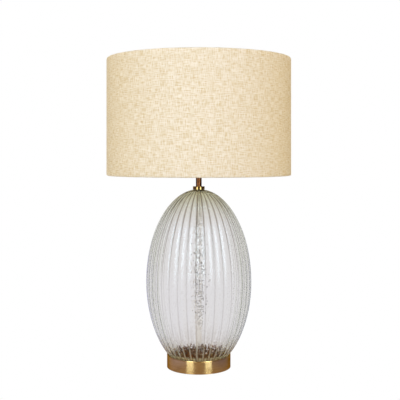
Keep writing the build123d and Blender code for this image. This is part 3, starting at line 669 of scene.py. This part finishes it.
def fluted_glass():
    """One wall, raised ring by ring: up the outside, in over the land, down the inside, out at the foot."""
    low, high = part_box("glass_body")
    z_equator = low.z + GLASS_DROP * sin(acos(GLASS_FOOT_RADIUS / GLASS_EQUATOR_RADIUS))
    rise = (high.z - z_equator) / sin(acos(GLASS_TOP_RADIUS / GLASS_EQUATOR_RADIUS))
    outside = egg_profile(GLASS_EQUATOR_RADIUS, GLASS_DROP, rise, GLASS_FOOT_RADIUS, GLASS_TOP_RADIUS,
                          z_equator, OUTER_RINGS)
    equator, drop = GLASS_EQUATOR_RADIUS - GLASS_WALL, GLASS_DROP - GLASS_WALL
    foot = equator * sqrt(1 - ((z_equator - low.z) / drop) ** 2)
    inside = egg_profile(equator, drop, rise - GLASS_WALL, foot, GLASS_BORE_RADIUS, z_equator, INNER_RINGS)

    deselect_all()
    bpy.ops.mesh.primitive_circle_add(vertices=FLUTES * FLUTE_STEPS, radius=GLASS_FOOT_RADIUS, calc_uvs=False)
    glass = name_piece("fluted_glass")
    bpy.ops.object.mode_set(mode="EDIT")
    bpy.ops.transform.rotate(value=-radians(FLUTE_TURN), orient_axis="Z", center_override=(0, 0, 0))
    bpy.ops.transform.translate(value=(0, 0, low.z))
    flute_ring(glass)
    raise_rings(outside + [(GLASS_BORE_RADIUS, high.z)] + inside[::-1] + [(GLASS_FOOT_RADIUS, low.z)])
    close_mesh(GLASS_MERGE_DISTANCE)
    bpy.ops.object.shade_smooth_by_angle(angle=SMOOTH_ANGLE)
    mark_glass(glass, z_equator, rise)
    coat(glass, clear_glass)
    seat(glass, "stand", "clear_glass", "glass_body")


fluted_glass()


# Base

BASE_SHEET = 1.2 * MM
LEDGE_WIDTH = 2.5 * MM
RIM_ROUND = 0.5 * MM
FOOT_ROUND = 0.4 * MM
LIP_GROOVE = 0.25 * MM
LIP_HEIGHT = 1.6 * MM
BASE_STEPS = 160
BASE_ROUND_STEPS = 5


def brass_base():
    """Straight wall with a rounded rim, a fine lip line under it, and the ledge inside that the plate lies
    on."""
    low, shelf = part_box("base_shell")
    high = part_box("base_rim")[1]
    ledge_top = shelf.z
    outer = high.x
    inner = outer - BASE_SHEET
    ledge = inner - LEDGE_WIDTH
    z_lip = high.z - LIP_HEIGHT
    z_round = high.z - RIM_ROUND
    outline = [(ledge, ledge_top), (ledge, ledge_top - BASE_SHEET)]
    outline += [(inner, ledge_top - BASE_SHEET), (inner, low.z)]
    outline += arc((outer - FOOT_ROUND, low.z + FOOT_ROUND), FOOT_ROUND, -90, 0, BASE_ROUND_STEPS)
    outline += [(outer, z_lip - LIP_GROOVE), (outer - LIP_GROOVE, z_lip), (outer, z_lip + LIP_GROOVE)]
    outline += arc((outer - RIM_ROUND, z_round), RIM_ROUND, 0, 90, BASE_ROUND_STEPS)
    outline += arc((inner + RIM_ROUND, z_round), RIM_ROUND, 90, 180, BASE_ROUND_STEPS)
    outline += [(inner, ledge_top)]
    base = turned("brass_base", outline, BASE_STEPS)
    coat(base, antique_brass)
    base.data.materials.append(brown_lacquer)
    for face in base.data.polygons:
        if face.normal.dot(face.center * Vector((1, 1, 0))) < 0:
            face.material_index = 1
    seat(base, "stand", "antique_brass", "base_shell", "base_rim")


brass_base()


# Shade

ROLL_OUTER = 2.6 * MM
ROLL_INNER = 1.8 * MM
ROLL_OUTER_STEPS = 10
ROLL_INNER_STEPS = 8
WALL_STEPS = 8
HEM_LENGTH = 12 * MM
HEM_STEPS = 360
HEM_STEP = 360 / HEM_STEPS  # in degrees
ARM_TURNS = (90, 210, 330)  # where the frame's arms pass through the lower hem
NOTCH_DEPTH = 0.55  # how far down the roll a notch goes, as a share of its radius
SEAM_START, SEAM_END = 86, 90  # degrees round the back where the cloth's end lies over its beginning
CLOTH_THICKNESS = 0.9 * MM


def wrap_cloth(piece, radius):
    """Lays the cloth's own measure, in metres round and up, on a drum as its UV map."""
    layer = piece.data.uv_layers.new(name="cloth")
    for face in piece.data.polygons:
        middle = atan2(face.center.x, -face.center.y)
        for loop in face.loop_indices:
            spot = piece.data.vertices[piece.data.loops[loop].vertex_index].co
            turn = atan2(spot.x, -spot.y)
            if turn - middle > pi:
                turn -= 2 * pi
            if middle - turn > pi:
                turn += 2 * pi
            layer.data[loop].uv = (turn * radius, spot.z)


def degrees_round(spot):
    """Where a point stands round the axis, in degrees from +X towards +Y."""
    return degrees(atan2(spot.y, spot.x)) % 360


def notch_hem(cover, ring, z_low):
    """Opens the lower hem where each arm passes, one step either side of it, and closes the cut edges."""

    def in_notch(face, arm):
        spot = face.calc_center_median()
        in_hem = spot.xy.length < ring and z_low - NOTCH_DEPTH * ROLL_OUTER < spot.z < z_low + 2 * HEM_LENGTH
        return in_hem and abs(degrees_round(spot) - arm) < 0.75 * HEM_STEP

    def is_cut(point, turn):
        return point.is_boundary and abs(degrees_round(point.co) - turn) < 0.25 * HEM_STEP

    bpy.ops.object.mode_set(mode="EDIT")
    for arm in ARM_TURNS:
        pick(cover, lambda face: in_notch(face, arm), "faces")
        bpy.ops.mesh.delete(type="FACE")
        for turn in (arm - HEM_STEP, arm + HEM_STEP):
            pick(cover, lambda point: is_cut(point, turn))
            bpy.ops.mesh.edge_face_add()
        pick(cover, lambda point: point.is_boundary)
        bpy.ops.mesh.edge_face_add()


def overlap_seam(cover, radius):
    """Raises the strip at the back where the cloth's end is glued over its beginning."""

    def in_seam(face):
        spot = face.calc_center_median()
        return spot.xy.length > radius - CLOTH_THICKNESS / 2 and SEAM_START < degrees_round(spot) < SEAM_END

    pick(cover, in_seam, "faces")
    share = 1 + CLOTH_THICKNESS / radius
    bpy.ops.mesh.extrude_region_move()
    bpy.ops.transform.resize(value=(share, share, 1), center_override=(0, 0, 0))


def linen_cover():
    """Drum of linen, rolled over a wire at each edge and turned in as a hem."""
    low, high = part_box("shade_cover")
    radius = high.x
    ring = radius - ROLL_OUTER
    z_low, z_high = low.z + ROLL_OUTER, high.z - ROLL_OUTER
    rise = (z_high - z_low) / WALL_STEPS
    outline = [(radius, z_low + rise * step) for step in range(WALL_STEPS)]
    outline += arc((ring, z_high), ROLL_OUTER, 0, 180, ROLL_OUTER_STEPS)
    outline += [(ring - ROLL_OUTER, z_high - HEM_LENGTH), (ring - ROLL_INNER, z_high - HEM_LENGTH)]
    outline += arc((ring, z_high), ROLL_INNER, 180, 0, ROLL_INNER_STEPS)
    outline += [(ring + ROLL_INNER, z_high - rise * step) for step in range(1, WALL_STEPS)]
    outline += arc((ring, z_low), ROLL_INNER, 0, -180, ROLL_INNER_STEPS)
    outline += [(ring - ROLL_INNER, z_low + HEM_LENGTH), (ring - ROLL_OUTER, z_low + HEM_LENGTH)]
    outline += arc((ring, z_low), ROLL_OUTER, 180, 360, ROLL_OUTER_STEPS)[:-1]
    cover = turned("linen_cover", outline, HEM_STEPS)
    notch_hem(cover, ring, z_low)
    overlap_seam(cover, radius)
    bpy.ops.mesh.select_all(action="SELECT")
    bpy.ops.mesh.normals_make_consistent(inside=False)
    bpy.ops.object.mode_set(mode="OBJECT")
    bpy.ops.object.shade_smooth_by_angle(angle=SMOOTH_ANGLE)
    wrap_cloth(cover, radius)
    coat(cover, linen)
    seat(cover, "shade", "linen", "shade_cover")


linen_cover()


# Bulb cap

THREAD_PITCH = 3.629 * MM
THREAD_DEPTH = 0.3 * MM
THREAD_TURNS = 4
THREAD_POINTS = 8
CAP_SHEET = 0.12 * MM
CAP_BAND = 1.4 * MM
CAP_STEPS = 64


def threaded_cap():
    """Rolled aluminium cap: a thin sheet wound up as a round thread, between two plain bands."""
    low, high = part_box("bulb_screw_shell")
    crest = high.x
    middle = crest - THREAD_DEPTH / 2
    z_start = (low.z + high.z - (THREAD_TURNS + 1) * THREAD_PITCH) / 2
    wave = []
    for point in range(THREAD_POINTS + 1):
        share = point / THREAD_POINTS
        wave.append((middle + THREAD_DEPTH / 2 * cos(2 * pi * share), z_start + THREAD_PITCH * share))

    cap = draw_outline("threaded_cap", wave)
    bpy.ops.object.mode_set(mode="OBJECT")
    thread = cap.modifiers.new("thread", "SCREW")
    thread.screw_offset = THREAD_PITCH
    thread.iterations = THREAD_TURNS
    thread.steps = thread.render_steps = CAP_STEPS
    thread.use_merge_vertices = True
    thread.merge_threshold = MERGE_DISTANCE
    bpy.ops.object.modifier_apply(modifier="thread")
    bpy.ops.object.mode_set(mode="EDIT")
    close_mesh()
    sheet = cap.modifiers.new("sheet", "SOLIDIFY")
    sheet.thickness = CAP_SHEET
    sheet.offset = -1.0
    bpy.ops.object.modifier_apply(modifier="sheet")

    inner = crest - THREAD_DEPTH - CAP_SHEET
    bands = []
    for z_low, z_high in ((low.z, low.z + CAP_BAND), (high.z - CAP_BAND, high.z)):
        outline = [(inner, z_low), (middle, z_low), (crest, z_low + THREAD_DEPTH)]
        outline += [(crest, z_high), (inner, z_high)]
        bands.append(turned("cap_band", outline, CAP_STEPS))
    deselect_all()
    for band in bands:
        band.select_set(True)
    cap.select_set(True)
    bpy.context.view_layer.objects.active = cap
    bpy.ops.object.join()
    bpy.ops.object.shade_smooth_by_angle(angle=SMOOTH_ANGLE)
    coat(cap, finishes["cap_aluminium"])
    seat(cap, "bulb", "cap_aluminium", "bulb_screw_shell")


threaded_cap()


# Felt

FELT_ROUND = 0.7 * MM
FELT_ROUND_STEPS = 4
FELT_STEPS = 96


def felt_disc():
    """Pressed felt under the base, cut round, with a soft edge."""
    low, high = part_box("felt_pad")
    radius = high.x
    outline = [(0, low.z), (radius / 2, low.z)]
    outline += arc((radius - FELT_ROUND, low.z + FELT_ROUND), FELT_ROUND, -90, 0, FELT_ROUND_STEPS)
    outline += arc((radius - FELT_ROUND, high.z - FELT_ROUND), FELT_ROUND, 0, 90, FELT_ROUND_STEPS)
    outline += [(radius / 2, high.z), (0, high.z)]
    felt = turned("felt_disc", outline, FELT_STEPS, closed=False)
    coat(felt, finishes["felt"])
    seat(felt, "stand", "felt", "felt_pad")


felt_disc()
